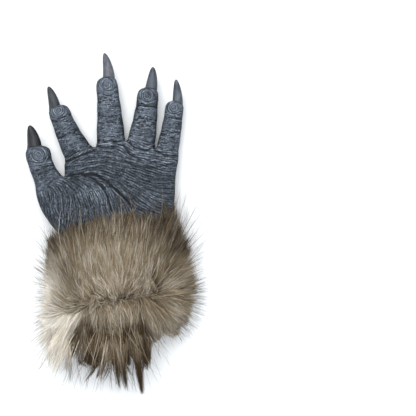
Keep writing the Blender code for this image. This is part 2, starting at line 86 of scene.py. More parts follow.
# Where the palm's lines run: x and y in mm, and their angle in degrees from +X.
PALM_FLOW = (
    (-54, 59, 30), (-44, 65, 28), (-35, 53, 24), (-28, 65, 14), (-22, 55, 14), (-11, 70, 2),
    (2, 69, -4), (18, 73, -46), (31, 67, -12), (10, 57, -8), (25, 55, -14), (44, 59, -4),
    (62, 55, -6), (-28, 48, 22), (-10, 51, 2), (4, 47, -20), (-40, 43, 0), (-24, 40, -12),
    (-12, 36, -34), (-6, 31, -44), (10, 39, -30), (25, 37, -24), (44, 37, -12), (62, 37, -8),
    (12, 25, -42), (26, 23, -38), (42, 21, -26), (58, 19, -12), (64, 27, 4), (18, 11, -52),
    (34, 9, -34), (52, 7, -18), (-18, 27, -60), (-11, 17, -70), (-4, 9, -78), (-24, 13, -84),
    (-28, 3, 88), (-14, 3, -84), (2, -1, -76), (-40, 35, -34), (-32, 29, -56), (-36, 17, -80),
    (-52, 35, -30), (-48, 25, -70), (-50, 11, 84), (-44, -1, 78), (-62, 45, -36), (-74, 39, -8),
    (-72, 29, -58), (-64, 17, -74), (-60, 7, -68), (-62, -7, -60), (-78, 25, -66), (-52, -9, 70),
    (22, -5, -60), (42, -3, -30), (58, -5, -16), (-16, -11, -88), (-36, -13, 84),
)
# The same over the back of the hand.
BACK_FLOW = (
    (-62, 13, 60), (-52, 43, 40), (-22, 58, 10), (8, 63, 0), (38, 59, -8), (62, 47, -20),
    (-32, 23, 20), (-2, 28, 0), (33, 28, -12), (60, 18, -30), (-22, -7, 6), (18, -7, -4),
)
# How far each of those directions holds, in mm.
PALM_REACH, BACK_REACH = 8, 18
# How far apart the ridges lie, in mm.
PALM_PITCH, DIGIT_PITCH, WHORL_PITCH = 2.6, 2.3, 2.1
# The palm's deep creases: depth and half-width in mm, then their points.
PALM_CREASES = (
    (0.8, 1.2, ((-49, 44), (-35, 45), (-21, 41), (-11, 32), (-4, 20), (0, 5))),
    (1.1, 1.3, ((-35, 46), (-16, 44), (-6, 37), (4, 29), (15, 18), (24, 8))),
    (0.5, 1.2, ((12, 61), (28, 53), (46, 52), (68, 57))),
    (0.7, 1.2, ((16, 83), (25, 75), (38, 71), (47, 76))),
    (0.7, 1.2, ((13, 77), (20, 67), (32, 61))),
    (0.7, 1.3, ((-56, 57), (-40, 63), (-20, 72))),
    (0.6, 1.2, ((-18, 76), (-2, 74), (12, 78))),
    (0.7, 1.2, ((46, 73), (58, 66), (72, 65))),
    (0.3, 1.3, ((-88, 46), (-76, 45), (-62, 52))),
)
# How much of the light paint is on each digit, the palm and the whorls.
DIGIT_PAINT = {"thumb": 0.80, "index": 0.80, "middle": 0.98, "ring": 0.98, "little": 0.98}
PALM_PAINT, WHORL_PAINT = 0.37, 1.05
# Where the palm has more of it, or less: x, y and half-size in mm, and how much more.
RUBBED_SPOTS = (
    (-62, 44, 11, 0.34), (-12, 22, 11, 0.36), (-41, 70, 9, 0.34), (-2, 76, 10, 0.35), (31, 70, 11, 0.40),
    (60, 60, 12, 0.35), (-28, 28, 8, 0.16), (52, 16, 10, 0.16), (-84, 34, 8, 0.2), (14, -6, 9, 0.16),
    (42, 42, 15, -0.14), (2, 44, 10, -0.10), (-74, 6, 12, -0.12), (-34, 40, 8, -0.10), (20, 18, 8, -0.10),
)
# The longest edges left on faces whose normals' z is above a value: finer towards the palm.
SKIN_EDGES = ((2.4 * MM, -1.1), (1.3 * MM, 0.1), (0.95 * MM, 0.35))
# The grid for the relief: its margin round the hand, and what its rows and columns are multiples of.
MARGIN = 8 * MM
BLOCK = 16
# No claw lies below this y.
CLAWS_FROM = 60 * MM


def linear(colour):
    """A shader colour from an sRGB hex string."""
    parts = [int(colour[i : i + 2], 16) / 255 for i in (1, 3, 5)]
    return (*[p / 12.92 if p <= 0.04045 else ((p + 0.055) / 1.055) ** 2.4 for p in parts], 1.0)


def add_node(tree, kind, inputs=None, **settings):
    """Adds a shader node; an input is a value, or another node's output to link from."""
    node = tree.nodes.new(f"ShaderNode{kind}")
    for name, value in settings.items():
        setattr(node, name, value)
    for name, value in (inputs or {}).items():
        if isinstance(value, bpy.types.NodeSocket):
            tree.links.new(value, node.inputs[name])
        else:
            node.inputs[name].default_value = value
    return node


def colour_ramp(tree, fac, *stops):
    """A colour that follows fac through (position, hex colour) stops."""
    node = add_node(tree, "ValToRGB", {"Fac": fac})
    for _ in stops[2:]:
        node.color_ramp.elements.new(0.5)
    for element, (position, colour) in zip(node.color_ramp.elements, stops):
        element.position, element.color = position, linear(colour)
    return node.outputs["Color"]


def mixed(tree, fac, low, high):
    """A colour between two others."""
    node = add_node(tree, "Mix", {0: fac, 6: low, 7: high}, data_type="RGBA")
    return node.outputs[2]


def new_material(name):
    """A material, its node tree and its shader."""
    material = bpy.data.materials.new(name)
    material.use_nodes = True
    return material, material.node_tree, material.node_tree.nodes["Principled BSDF"]


def place(name, mesh, material, slot, *nodes):
    """Adds a finished piece that rides on the glove and stands for those CAD nodes."""
    piece = bpy.data.objects.new(name, mesh)
    bpy.context.scene.collection.objects.link(piece)
    mesh.materials.clear()
    mesh.materials.append(material)
    mesh.shade_smooth()
    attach(piece, "root")
    if nodes:
        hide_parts(*nodes)


def smoothstep(low, high, value):
    """0 up to low and 1 from high on, with a soft rise between them."""
    t = np.clip((value - low) / (high - low), 0, 1)
    return t * t * (3 - 2 * t)


def coordinates(mesh):
    """A mesh's vertices as an array."""
    spots = np.empty(len(mesh.vertices) * 3, np.float32)
    mesh.vertices.foreach_get("co", spots)
    return spots.reshape(-1, 3).astype(float)


def subdivided(bm, levels):
    """Subdivides a mesh smoothly; its cage is swollen first, so that the surface doesn't shrink."""
    mesh = bpy.data.meshes.new("cage")
    bm.to_mesh(mesh)
    holder = bpy.data.objects.new("cage", mesh)
    bpy.context.scene.collection.objects.link(holder)
    smooth = holder.modifiers.new("smooth", "SUBSURF")
    smooth.levels = smooth.render_levels = levels
    wanted = coordinates(mesh)
    cage = wanted.copy()
    for _ in range(3):
        graph = bpy.context.evaluated_depsgraph_get()
        cage += wanted - coordinates(holder.evaluated_get(graph).data)[: len(cage)]
        mesh.vertices.foreach_set("co", cage.ravel())
        mesh.update()
    bm.clear()
    bm.from_object(holder, bpy.context.evaluated_depsgraph_get())
    bpy.data.objects.remove(holder)


def soft_noise(shape, size, seed):
    """Smooth noise over the grid, with a spread of 1 and blobs of the given size."""
    rng = np.random.default_rng(seed)
    across = np.fft.rfftfreq(shape[1], CELL)[None, :]
    up = np.fft.fftfreq(shape[0], CELL)[:, None]
    blur = np.exp(-(across**2 + up**2) * (size * 1.6) ** 2)
    made = np.fft.irfft2(np.fft.rfft2(rng.normal(size=shape)) * blur, shape)
    return made / made.std()


def grown_ridges(field, flow, spacing, rounds, spacings, loose):
    """Skin ridges that follow a flow (a field of doubled angles), grown from a field in rounds."""
    shape, turns = flow.shape, 20
    across = np.fft.rfftfreq(shape[1], CELL)[None, :]
    up = np.fft.fftfreq(shape[0], CELL)[:, None]
    angle = np.angle(flow) / 2 % math.pi / math.pi * turns
    at_spacing = np.interp(np.log(spacing), np.log(np.array(spacings) * MM), range(len(spacings)))
    for _ in range(rounds):
        spectrum, grown = np.fft.rfft2(field), np.zeros(shape)
        for turn in range(turns):
            away = np.abs(angle - turn)
            share = np.clip(1 - np.minimum(away, turns - away), 0, 1)
            lean = math.pi * turn / turns
            over = up * math.cos(lean) - across * math.sin(lean)
            along = across * math.cos(lean) + up * math.sin(lean)
            for number, gap in enumerate(spacings):
                weight = share * np.clip(1 - np.abs(at_spacing - number), 0, 1)
                if not weight.any():
                    continue
                pitch = 1 / (gap * MM)
                off = ((np.abs(over) - pitch) / (0.26 * pitch)) ** 2 + (along / (loose * pitch)) ** 2
                grown += weight * np.fft.irfft2(spectrum * np.exp(-off), shape)
        field = np.tanh(1.2 * grown / grown.std())
    return field


def on_line(root, middle, tip, s):
    """The point at station s of the curve through a digit's root, middle and tip."""
    return root * (1 - s) * (1 - 2 * s) + middle * 4 * s * (1 - s) + tip * s * (2 * s - 1)


def along_digit(x, y, root, middle, tip):
    """For each grid point: the station of the digit's nearest point, its distance and its way."""
    here, nearest = x + 1j * y, np.full(x.shape, 9.0)
    station, heading = np.zeros(x.shape), np.ones(x.shape, complex)
    for s in np.linspace(-0.2, 1.15, 50):
        at = on_line(root, middle, tip, s)
        way = root * (4 * s - 3) + middle * (4 - 8 * s) + tip * (4 * s - 1)
        away = np.abs(here - at)
        closer = away < nearest
        nearest[closer], station[closer], heading[closer] = away[closer], s, way / abs(way)
    return station, nearest, heading


def valley(away):
    """A crease's height at a distance from it, counted in half-widths: a valley with soft lips."""
    return 0.3 * np.exp(-((away - 1.9) ** 2)) - np.exp(-(away**2))


def to_polyline(x, y, points):
    """How far each grid point is from a line through some points."""
    here, nearest = x + 1j * y, np.full(x.shape, 9.0)
    points = [complex(*point) * MM for point in points]
    for start, end in zip(points, points[1:]):
        way = end - start
        share = np.clip(((here - start) * np.conj(way)).real / abs(way) ** 2, 0, 1)
        nearest = np.minimum(nearest, np.abs(here - start - share * way))
    return nearest


def moulded_skin(x, y, palm_side):
    """Over one side of the hand: ridges, brushed paint, depth of creases, and height of all relief."""

    def noise(size, seed):
        return soft_noise(x.shape, size * MM, seed)

    flow = np.zeros(x.shape, complex)
    reach = (PALM_REACH if palm_side else BACK_REACH) * MM
    for at_x, at_y, lean in PALM_FLOW if palm_side else BACK_FLOW:
        weight = np.exp(-((x - at_x * MM) ** 2 + (y - at_y * MM) ** 2) / (2 * reach**2))
        flow += (weight + 1e-9) * np.exp(2j * math.radians(lean))
    flow = flow / np.abs(flow) * np.exp(0.3j * noise(5, 5) + 0.18j * noise(2, 6))
    spacing = (PALM_PITCH + 0.35 * noise(9, 23)) * MM
    creases, brushed = np.zeros(x.shape), np.full(x.shape, PALM_PAINT)
    for at_x, at_y, half, more in RUBBED_SPOTS:
        brushed += more * np.exp(-((x - at_x * MM) ** 2 + (y - at_y * MM) ** 2) / (half * MM) ** 2)
    seeded = np.random.default_rng(7).normal(size=x.shape)
    rough, on_digit, subdued = noise(4, 3), np.zeros(x.shape), np.ones(x.shape)
    for name, (*line, base, end, pad, stretch) in DIGIT_LINES.items():
        line = [complex(*point) * MM for point in line]
        station, away, heading = along_digit(x, y, *line)
        width = (base + (end - base) * np.clip(station / 0.7, 0, 1)) * MM
        inside = np.exp(-((away / (0.66 * width)) ** 6))
        on = inside * smoothstep(-0.12, 0.22, station)
        wobble = np.exp(0.75j * noise(2.2, 11))
        flow = flow * (1 - on) + on * -(heading**2) * wobble
        spacing = spacing * (1 - on) + on * DIGIT_PITCH * MM
        brushed = brushed * (1 - on) + on * DIGIT_PAINT[name]
        length = abs(line[2] - line[0]) / MM
        for crease, depth, half in JOINT_CREASES[name]:
            creases += inside * depth * valley(np.abs(station - crease + 0.014 * rough) * length / half)
        if palm_side:
            spoke = (x + 1j * y - on_line(*line, pad)) * np.conj(heading)
            spoke = spoke.real / stretch + 1j * spoke.imag
            out = np.maximum(np.abs(spoke), 0.01 * MM)
            whorl = np.exp(-((out / (0.43 * end * MM)) ** 4))
            tangent = spoke.imag - 1j * spoke.real * stretch
            tangent = (tangent / np.maximum(np.abs(tangent), 0.01 * MM) * heading) ** 2
            flow = flow * (1 - whorl) + whorl * tangent * np.exp(0.25j * rough)
            spacing = spacing * (1 - whorl) + whorl * WHORL_PITCH * MM
            brushed = brushed * (1 - whorl) + whorl * WHORL_PAINT
            on_digit = np.maximum(on_digit, on) * (1 - whorl)
            ring = np.cos(2 * math.pi * out / (WHORL_PITCH * MM) + 1.1 * rough)
            seeded = seeded * (1 - whorl) + whorl * 2 * ring
            subdued -= whorl * 0.55 * smoothstep(-0.2, 0.3, spoke.real / (end * MM))
    if palm_side:
        for depth, width, points in PALM_CREASES:
            creases += depth * valley(to_polyline(x, y, points) / (width * MM))
    fine = grown_ridges(seeded, flow, spacing, 5, (1.8, 2.3, 2.9), 0.17)
    folds = grown_ridges(noise(1.5, 9), flow, spacing * 2.1, 3, (3.8, 4.8, 6.1), 0.24)
    net = 1 - 2.2 * np.abs(noise(0.9, 21))
    netted = np.maximum(0.25 * on_digit, 0.14 * (subdued == 1))
    fine = (fine * (1 - netted) + netted * net) * subdued
    # The ridges fade and break up here and there
    broken = np.clip(0.78 + 0.34 * noise(3.5, 13) + 0.42 * noise(1.1, 14), 0.05, 1.6)
    height = MM * (0.24 * fine * broken + 0.16 * folds + creases + 0.04 * noise(0.5, 15))
    brushed = brushed * (1 + 0.22 * noise(6, 17)) + 0.1 * noise(1.5, 19)
    ridges = 0.5 + 0.40 * fine * broken + 0.14 * folds + 0.5 * creases
    return np.stack([ridges, brushed, -creases, height])


def sampled(grids, low, spots):
    """Values of grids at points, blended between their four nearest cells."""
    at = (spots[:, :2] - low) / CELL
    cell = np.clip(at.astype(int), 0, np.array(grids.shape[:0:-1]) - 2)
    (across, up), (column, row) = np.clip(at - cell, 0, 1).T, cell.T
    near = grids[:, row, column] * (1 - across) + grids[:, row, column + 1] * across
    far = grids[:, row + 1, column] * (1 - across) + grids[:, row + 1, column + 1] * across
    return near * (1 - up) + far * up


def skin_and_lining(node, claws):
    """The CAD hand's outer skin without its claw pockets, and all its other faces."""
    bm = bmesh.new()
    bm.from_mesh(node.data)
    bmesh.ops.remove_doubles(bm, verts=bm.verts, dist=0.01 * MM)
    bmesh.ops.recalc_face_normals(bm, faces=bm.faces)
    rim_y = min(vertex.co.y for vertex in bm.verts) + 0.05 * MM
    bounds = {face for face in bm.faces if all(vertex.co.y < rim_y for vertex in face.verts)}
    for face in bm.faces:
        spots = [vertex.co for vertex in face.verts] + [face.calc_center_median()]
        if any(all(claw.find_nearest(spot, 0.6 * MM)[0] for spot in spots) for claw in claws):
            bounds.add(face)
    front = [max(bm.verts, key=lambda vertex: vertex.co.x).link_faces[0]]
    outside = set(front)
    while front:
        for edge in front.pop().edges:
            fresh = set(edge.link_faces) - outside - bounds
            outside |= fresh
            front += fresh
    for face in bm.faces:
        face.material_index = face in outside
    lining = bm.copy()
    for shell, kept in ((bm, 1), (lining, 0)):
        spare = [face for face in shell.faces if face.material_index != kept]
        bmesh.ops.delete(shell, geom=spare, context="FACES")
        for face in shell.faces:
            face.material_index = 0
    return bm, lining


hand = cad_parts["hand"]
claw_trees = []
for name in DIGIT_LINES:
    shape = bmesh.new()
    shape.from_mesh(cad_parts[f"claw_{name}"].data)
    claw_trees.append(BVHTree.FromBMesh(shape))
    shape.free()
skin, lining = skin_and_lining(hand, claw_trees)
bmesh.ops.join_triangles(skin, faces=skin.faces, angle_face_threshold=0.7, angle_shape_threshold=1.2)
subdivided(skin, 2)
for longest, lowest in SKIN_EDGES:
    skin.normal_update()
    edges = {edge for face in skin.faces if face.normal.z > lowest for edge in face.edges}
    edges = [edge for edge in edges if edge.calc_length() > longest]
    bmesh.ops.subdivide_edges(skin, edges=edges, cuts=1, use_grid_fill=True)
skin.normal_update()

low, high = (np.array(corner[:2]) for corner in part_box("hand"))
low = low - MARGIN
columns, rows = ((high - low + MARGIN) / CELL).astype(int) // BLOCK * BLOCK + BLOCK
over_x, over_y = np.meshgrid(low[0] + np.arange(columns) * CELL, low[1] + np.arange(rows) * CELL)
spots = np.array([vertex.co for vertex in skin.verts])
normals = np.array([vertex.normal for vertex in skin.verts])
upward = smoothstep(-0.45, 0.1, normals[:, 2])
palm = sampled(moulded_skin(over_x, over_y, True), low, spots)
back = sampled(moulded_skin(over_x, over_y, False), low, spots)
ridges, brushed, hollow, height = palm * upward + back * (1 - upward)
# The light paint thins where the skin turns sideways or down: partly real, as dry-brushing reaches the
# tops most, and partly painted shade on the sides
brushed = brushed * (0.42 + 0.58 * smoothstep(0.1, 0.9, normals[:, 2]))
near_claw = np.full(len(spots), 1.0)
for tree in claw_trees:
    for number in np.flatnonzero(spots[:, 1] > CLAWS_FROM):
        found = tree.find_nearest(spots[number], 6 * MM)
        if found[0]:
            near_claw[number] = min(near_claw[number], found[3])
# The relief fades towards the claws, the sleeve's rim and the sides of the fingers
fade = smoothstep(0.3 * MM, 2.5 * MM, near_claw) * smoothstep(0, 4 * MM, spots[:, 1] - low[1] - MARGIN)
fade *= 0.3 + 0.7 * smoothstep(0.05, 0.5, np.abs(normals[:, 2]))
cuticle = 0.5 * MM * np.exp(-(((near_claw - 1.6 * MM) / (0.9 * MM)) ** 2))
spots = spots + normals * (height * fade + cuticle)[:, None]
spots[:, 2] = np.maximum(spots[:, 2], 0.05 * MM)

skin_mesh = bpy.data.meshes.new("hand_skin")
skin.to_mesh(skin_mesh)
skin_mesh.vertices.foreach_set("co", spots.ravel())
tones = np.stack([ridges, brushed, hollow, np.ones(len(spots))], 1)
paint_layer = skin_mesh.attributes.new("paint", "FLOAT_COLOR", "POINT")
paint_layer.data.foreach_set("color", np.clip(tones, 0, 1).ravel())
lining_mesh = bpy.data.meshes.new("hand_lining")
lining.to_mesh(lining_mesh)
skin.clear()
skin.from_mesh(skin_mesh)
skin.from_mesh(lining_mesh)
skin.to_mesh(skin_mesh)
skin.free()
lining.free()

# Latex rubber, moulded and matt, with paler paint dry-brushed over its ridges; that paint fades down the
# sides, partly as dry-brushing does and partly as painted shade
latex, tree, shader = new_material("painted latex")
where = add_node(tree, "TexCoord").outputs["Object"]
layer = add_node(tree, "Attribute", attribute_name="paint").outputs[0]
paint = add_node(tree, "SeparateColor", {"Color": layer})
mottle = add_node(tree, "TexNoise", {"Vector": where, "Scale": 260.0, "Detail": 4.0}).outputs["Fac"]
specks = add_node(tree, "TexNoise", {"Vector": where, "Scale": 1100.0, "Detail": 3.0}).outputs["Fac"]
# The coat carries the painted shade on the sides as well as the brushed paint
brush_coat_and_shade = add_node(tree, "Math", {0: mottle, 1: paint.outputs["Green"]}, operation="MULTIPLY").outputs[0]
brush_coat_and_shade = add_node(tree, "MapRange", {0: brush_coat_and_shade, 1: 0.08, 2: 0.55}).outputs[0]
ridge = paint.outputs["Red"]
bare = colour_ramp(tree, ridge, (0.1, "#0e1114"), (0.4, "#20252a"), (0.65, "#31373e"), (1.0, "#48515a"))
heavy = colour_ramp(tree, ridge, (0.1, "#21272c"), (0.4, "#484f58"), (0.65, "#6c747e"), (1.0, "#a0a7b0"))
brushed_and_shaded = mixed(tree, brush_coat_and_shade, bare, heavy)
sunk = add_node(tree, "MapRange", {0: paint.outputs["Blue"], 1: 0.1, 2: 0.9, 4: 0.75}).outputs[0]
tree.links.new(mixed(tree, sunk, brushed_and_shaded, linear("#0f1215")), shader.inputs["Base Color"])
gloss = add_node(tree, "MapRange", {"Value": specks, "To Min": 0.6, "To Max": 0.8})
shader.inputs["Specular IOR Level"].default_value = 0.2
tree.links.new(gloss.outputs[0], shader.inputs["Roughness"])
pores = add_node(tree, "Bump", {"Height": specks, "Strength": 0.3, "Distance": 0.2 * MM})
tree.links.new(pores.outputs[0], shader.inputs["Normal"])
place("hand_latex", skin_mesh, latex, "latex", "hand")


# The claws: solid moulded horn-coloured plastic, smooth and satin, faintly ridged lengthwise.
# Each sits in a pocket behind its fingertip's pad, swollen just enough to close its gap.

CLAW_SWELL = 0.4 * MM
# Each claw's colour at its sides, with painted shade, and on its back, with a painted highlight.
CLAW_SHADED_AND_LIT_TONES = {
    "thumb": ("#141518", "#292a2d"),
    "index": ("#1f2124", "#3e4043"),
    "middle": ("#33353b", "#6b6c74"),
    "ring": ("#20242a", "#50565f"),
    "little": ("#2a2f35", "#596068"),
}

for name, (deep, pale) in CLAW_SHADED_AND_LIT_TONES.items():
    claw = bmesh.new()
    claw.from_mesh(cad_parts[f"claw_{name}"].data)
    bmesh.ops.remove_doubles(claw, verts=claw.verts, dist=0.01 * MM)
    bmesh.ops.recalc_face_normals(claw, faces=claw.faces)
    bmesh.ops.join_triangles(claw, faces=claw.faces, angle_face_threshold=0.7, angle_shape_threshold=1.5)
    subdivided(claw, 3)
    claw.normal_update()
    for vertex in claw.verts:
        vertex.co += vertex.normal * CLAW_SWELL
    claw_mesh = bpy.data.meshes.new(f"claw_{name}")
    claw.to_mesh(claw_mesh)
    # Painted highlight: 1 where the claw faces up, falling to 0 on its sides
    painted_top_light = smoothstep(0.2, 0.95, np.array([vertex.normal.z for vertex in claw.verts]))
    claw_mesh.attributes.new("painted_top_light", "FLOAT", "POINT").data.foreach_set("value", painted_top_light)
    claw.free()
    # Horn-coloured plastic, satin from its mould, drawn out lengthwise like a real nail, with a painted
    # highlight along its top and painted shade down its sides
    horn, tree, shader = new_material(f"horn plastic {name}")
    where = add_node(tree, "TexCoord").outputs["Object"]
    drawn = add_node(tree, "Mapping", {"Vector": where, "Scale": (1.0, 0.1, 1.0)}).outputs[0]
    grain = add_node(tree, "TexNoise", {"Vector": drawn, "Scale": 520.0, "Detail": 3.0}).outputs["Fac"]
    clouds = add_node(tree, "TexNoise", {"Vector": where, "Scale": 110.0, "Detail": 2.0}).outputs["Fac"]
    both = add_node(tree, "Math", {0: grain, 1: clouds}, operation="ADD").outputs[0]
    worn = add_node(tree, "MapRange", {"Value": both, "From Min": 0.75, "From Max": 1.25, "To Min": 0.3})
    painted_top_light = add_node(tree, "Attribute", attribute_name="painted_top_light").outputs["Fac"]
    tone = add_node(tree, "Math", {0: worn.outputs[0], 1: painted_top_light}, operation="MULTIPLY").outputs[0]
    tree.links.new(colour_ramp(tree, tone, (0.1, deep), (0.9, pale)), shader.inputs["Base Color"])
    gloss = add_node(tree, "MapRange", {"Value": grain, "To Min": 0.34, "To Max": 0.48})
    shader.inputs["Specular IOR Level"].default_value = 0.35
    tree.links.new(gloss.outputs[0], shader.inputs["Roughness"])
    ridged = add_node(tree, "Bump", {"Height": grain, "Strength": 0.12, "Distance": 0.2 * MM})
    tree.links.new(ridged.outputs[0], shader.inputs["Normal"])
    place(f"claw_{name}_horn", claw_mesh, horn, "horn", f"claw_{name}")


# The cuff's backing: an open tube of brown knitted cloth, glued round the latex wrist.
# It shows only at the mouth, and carries the fur.

# The y of the tube's two ends, and how far its hand end slants.
HAND_END, MOUTH, SLANT = -32.8 * MM, -121.8 * MM, 18 * MM
WRIST_MIDDLE = Vector((2.7 * MM, 0, 30 * MM))
WRIST_HALF = 56 * MM
BACKING = 2 * MM
# How wide the tube is at stations from its hand end to its mouth.
TUBE = (
    (0.0, 1.01), (0.16, 1.0), (0.34, 1.0), (0.46, 0.98),
    (0.57, 0.96), (0.68, 0.97), (0.84, 1.02), (1.0, 1.04),
)

hand_shape = bmesh.new()
hand_shape.from_mesh(hand.data)
hand_tree = BVHTree.FromBMesh(hand_shape)
hand_shape.free()


def wrist_outline(count):
    """Points round the outside of the latex wrist, and the directions out of it."""
    found = []
    target = WRIST_MIDDLE + Vector((0, -47 * MM, 0))
    for i in range(count):
        turn = 2 * math.pi * i / count
        start = target + Vector((0.12 * math.cos(turn), 0, 0.06 * math.sin(turn)))
        found.append(hand_tree.ray_cast(start, target - start)[0])
    outline = np.array(found)[:, ::2]
    along = np.roll(outline, -1, 0) - np.roll(outline, 1, 0)
    along /= np.linalg.norm(along, axis=1)[:, None]
    return outline, np.stack([along[:, 1], -along[:, 0]], 1)


outline, outward = wrist_outline(160)


def on_tube(around, station, out):
    """Points at shares of the way round and along the tube, and so far out of the latex.

    Also gives the directions out of the tube there, and how far across the wrist the points lie.
    """
    at = around * len(outline) % len(outline)
    low = at.astype(int) % len(outline)
    high, share = (low + 1) % len(outline), (at % 1)[..., None]
    ring = outline[low] * (1 - share) + outline[high] * share
    away = outward[low] * (1 - share) + outward[high] * share
    middle = np.array([WRIST_MIDDLE.x, WRIST_MIDDLE.z])
    spread = np.interp(station, *zip(*TUBE))[..., None]
    flat = middle + (ring - middle) * spread + away * (0.3 * MM + out[..., None])
    across = (ring[..., 0] - middle[0]) / WRIST_HALF
    slant = SLANT * across * (1 - across) / 2 * (1 - station)
    y = HAND_END + slant + station * (MOUTH - HAND_END)
    points = np.stack([flat[..., 0], y, flat[..., 1]], -1)
    return points, np.stack([away[..., 0], 0 * y, away[..., 1]], -1), across


TUBE_ROWS, TUBE_COLUMNS = 24, 120
tube = bmesh.new()
around = np.arange(TUBE_COLUMNS) / TUBE_COLUMNS
rings = []
for out, stations in ((0.0, np.linspace(0, 1, TUBE_ROWS)), (BACKING, np.linspace(1, 0, TUBE_ROWS))):
    for station in stations:
        ring = on_tube(around, np.full(TUBE_COLUMNS, station), np.full(TUBE_COLUMNS, out))[0]
        verts = [tube.verts.new(spot) for spot in ring]
        rings.append([tube.edges.new((a, b)) for a, b in zip(verts, verts[1:] + verts[:1])])
for ring, following in zip(rings, rings[1:] + rings[:1]):
    bmesh.ops.bridge_loops(tube, edges=ring + following)
bmesh.ops.recalc_face_normals(tube, faces=tube.faces)
tube_mesh = bpy.data.meshes.new("cuff_backing")
tube.to_mesh(tube_mesh)
tube.free()
# Brown knitted polyester
knit, tree, shader = new_material("knitted backing")
where = add_node(tree, "TexCoord").outputs["Object"]
wales = add_node(tree, "TexWave", {"Vector": where, "Scale": 160.0, "Distortion": 1.5, "Detail": 2.0})
cloth = colour_ramp(tree, wales.outputs["Fac"], (0.2, "#554938"), (0.8, "#7d6f5c"))
tree.links.new(cloth, shader.inputs["Base Color"])
shader.inputs["Roughness"].default_value = 0.9
loops = add_node(tree, "Bump", {"Height": wales.outputs["Fac"], "Strength": 0.5, "Distance": 0.4 * MM})
tree.links.new(loops.outputs[0], shader.inputs["Normal"])
place("cuff_backing", tube_mesh, knit, "fur", "fur_cuff")


# The fur: long polyester pile, beige with dark brown tips, parted round the cuff.
# Above the parting it is combed over the palm, below it towards the arm, and its sides fan out.
# Single guard hairs stand out past the pile. It all grows from the backing.

# Each patch of pile: how many hairs at most, their half-width in mm and their relative length.
PILE = {
    "fur_upper": (27000, 0.20, 1.0),
    "fur_lower": (27000, 0.20, 1.0),
    "fur_side": (27000, 0.20, 1.0),
    "fur_under": (9000, 0.24, 0.8),
    "fur_guard_hairs": (800, 0.22, 1.8),
}
PILE_LENGTH = 44 * MM
SEGMENTS = 4
# Places on the cuff are compared on a tube of this radius, with the parting drawn apart by a gap.
CUFF_RADIUS, PARTING_GAP = 47.62 * MM, 60 * MM
LOCKS, TUFTS = 260, 2600
# How finely a hair's style is told: steps of its dark tip, its paleness and its own tone.
DARK_STEPS, PALE_STEPS, TONE_STEPS = 8, 4, 4
# How the hair at each side is combed: station, degrees from +Y outwards, and length in mm.
THUMB_SIDE = (
    (0, 14, 38), (0.15, 26, 32), (0.3, 48, 26), (0.45, 67, 25), (0.6, 90, 26), (0.75, 117, 25),
    (0.9, 138, 30), (1, 158, 42),
)
LITTLE_SIDE = (
    (0, -16, 58), (0.16, 2, 50), (0.33, 33, 42), (0.5, 64, 38), (0.61, 88, 37), (0.72, 118, 34),
    (0.87, 138, 25), (1, 150, 18),
)
# How much longer the lowest hair on top is, from the thumb's side to the little finger's.
TAILS = (
    (-1, 1.3), (-0.7, 1.5), (-0.46, 1.75), (-0.24, 1.35), (-0.03, 1.75), (0.18, 1.35), (0.38, 1.8),
    (0.5, 1.2), (0.62, 0.72), (0.8, 0.42), (1, 0.36),
)
# Dark patches where tips of the lower pile end: x and y in mm, and their half-sizes.
DARK_PATCHES = (
    (-36, -154, 12, 17), (-20, -151, 12, 17), (-5, -142, 14, 17), (4, -157, 10, 18), (23, -148, 12, 17),
    (36, -146, 9, 14), (28, -162, 10, 20), (-31, -172, 13, 22), (0, -178, 10, 26), (32, -182, 15, 30),
)
# How far past the CAD's box a hair may reach, in metres: sideways, lengthwise and up.
ROOM = np.array([13, 17, 10]) * MM


def parting(across):
    """The station where the pile parts."""
    return 0.66 - 0.10 * across + 0.10 * np.maximum(0, across - 0.4)


def combed(around, station, length, rng, wander):
    """The middle lines of hairs: an array of hairs by points by three."""
    count = len(around)
    root, away, across = on_tube(around, station, np.full(count, BACKING))
    side = smoothstep(0.3, 0.95, np.abs(away[:, 0]))
    above = parting(across) - station + 0.018 * wander * rng.normal(size=count)
    comb = np.sign(above) * (0.1 + 0.9 * np.tanh(np.abs(above) / 0.12))
    standing = np.exp(-((above / 0.10) ** 2)) * (1 - side)
    tails = np.interp(across, *zip(*TAILS))
    on_top = 1 + (tails - 1) * smoothstep(0.65, 1.0, station) * (comb < 0)
    lean = np.stack([across * (0.26 + 0.22 * standing), comb], 1)
    lengths = PILE_LENGTH * on_top
    for sign, table in ((-1, THUMB_SIDE), (1, LITTLE_SIDE)):
        stations, degrees, reaches = zip(*table)
        turn = np.radians(np.interp(station, stations, degrees))
        aside = (side * (away[:, 0] * sign > 0))[:, None]
        lean = lean * (1 - aside) + aside * np.stack([sign * np.sin(turn), np.cos(turn)], 1)
        lengths = lengths * (1 - aside[:, 0]) + aside[:, 0] * np.interp(station, stations, reaches) * MM
    lengths = lengths * length * (0.8 + 0.3 * rng.random(count))
    lift = 0.34 + 0.22 * standing - 0.12 * side
    turn = wander * 0.16 * rng.normal(size=(count, 2))
    droop = 0.20 + 0.25 * standing + side * np.where(across > 0, 0.22, 0.42)
    droop += 0.6 * smoothstep(0.7, 1.0, station) * (1 - side) * (away[:, 2] > 0)
    points, at = [root], root
    for step in range(SEGMENTS):
        t = (step + 0.5) / SEGMENTS
        rise = (lift * (1 - t) ** 1.5 * 1.5)[:, None] * away
        flow = np.stack([turn[:, 0] * (0.5 + t), np.zeros(count), turn[:, 1] * 0.6 - droop * t], 1)
        flow[:, :2] += lean
        course = rise + flow * (0.38 + 0.72 * t)
        course /= np.linalg.norm(course, axis=1)[:, None]
        at = at + course * (lengths / SEGMENTS)[:, None]
        points.append(at)
    return np.stack(points, 1)


def sorted_by_side(around, station):
    """Where hairs grow, with those above the parting set far from those below it."""
    _, _, across = on_tube(around, station, np.zeros(len(around)))
    rise = station * (HAND_END - MOUTH) * 0.6 + PARTING_GAP * (station > parting(across))
    angle = around * 2 * math.pi
    return np.stack([CUFF_RADIUS * np.cos(angle), CUFF_RADIUS * np.sin(angle), rise], 1)


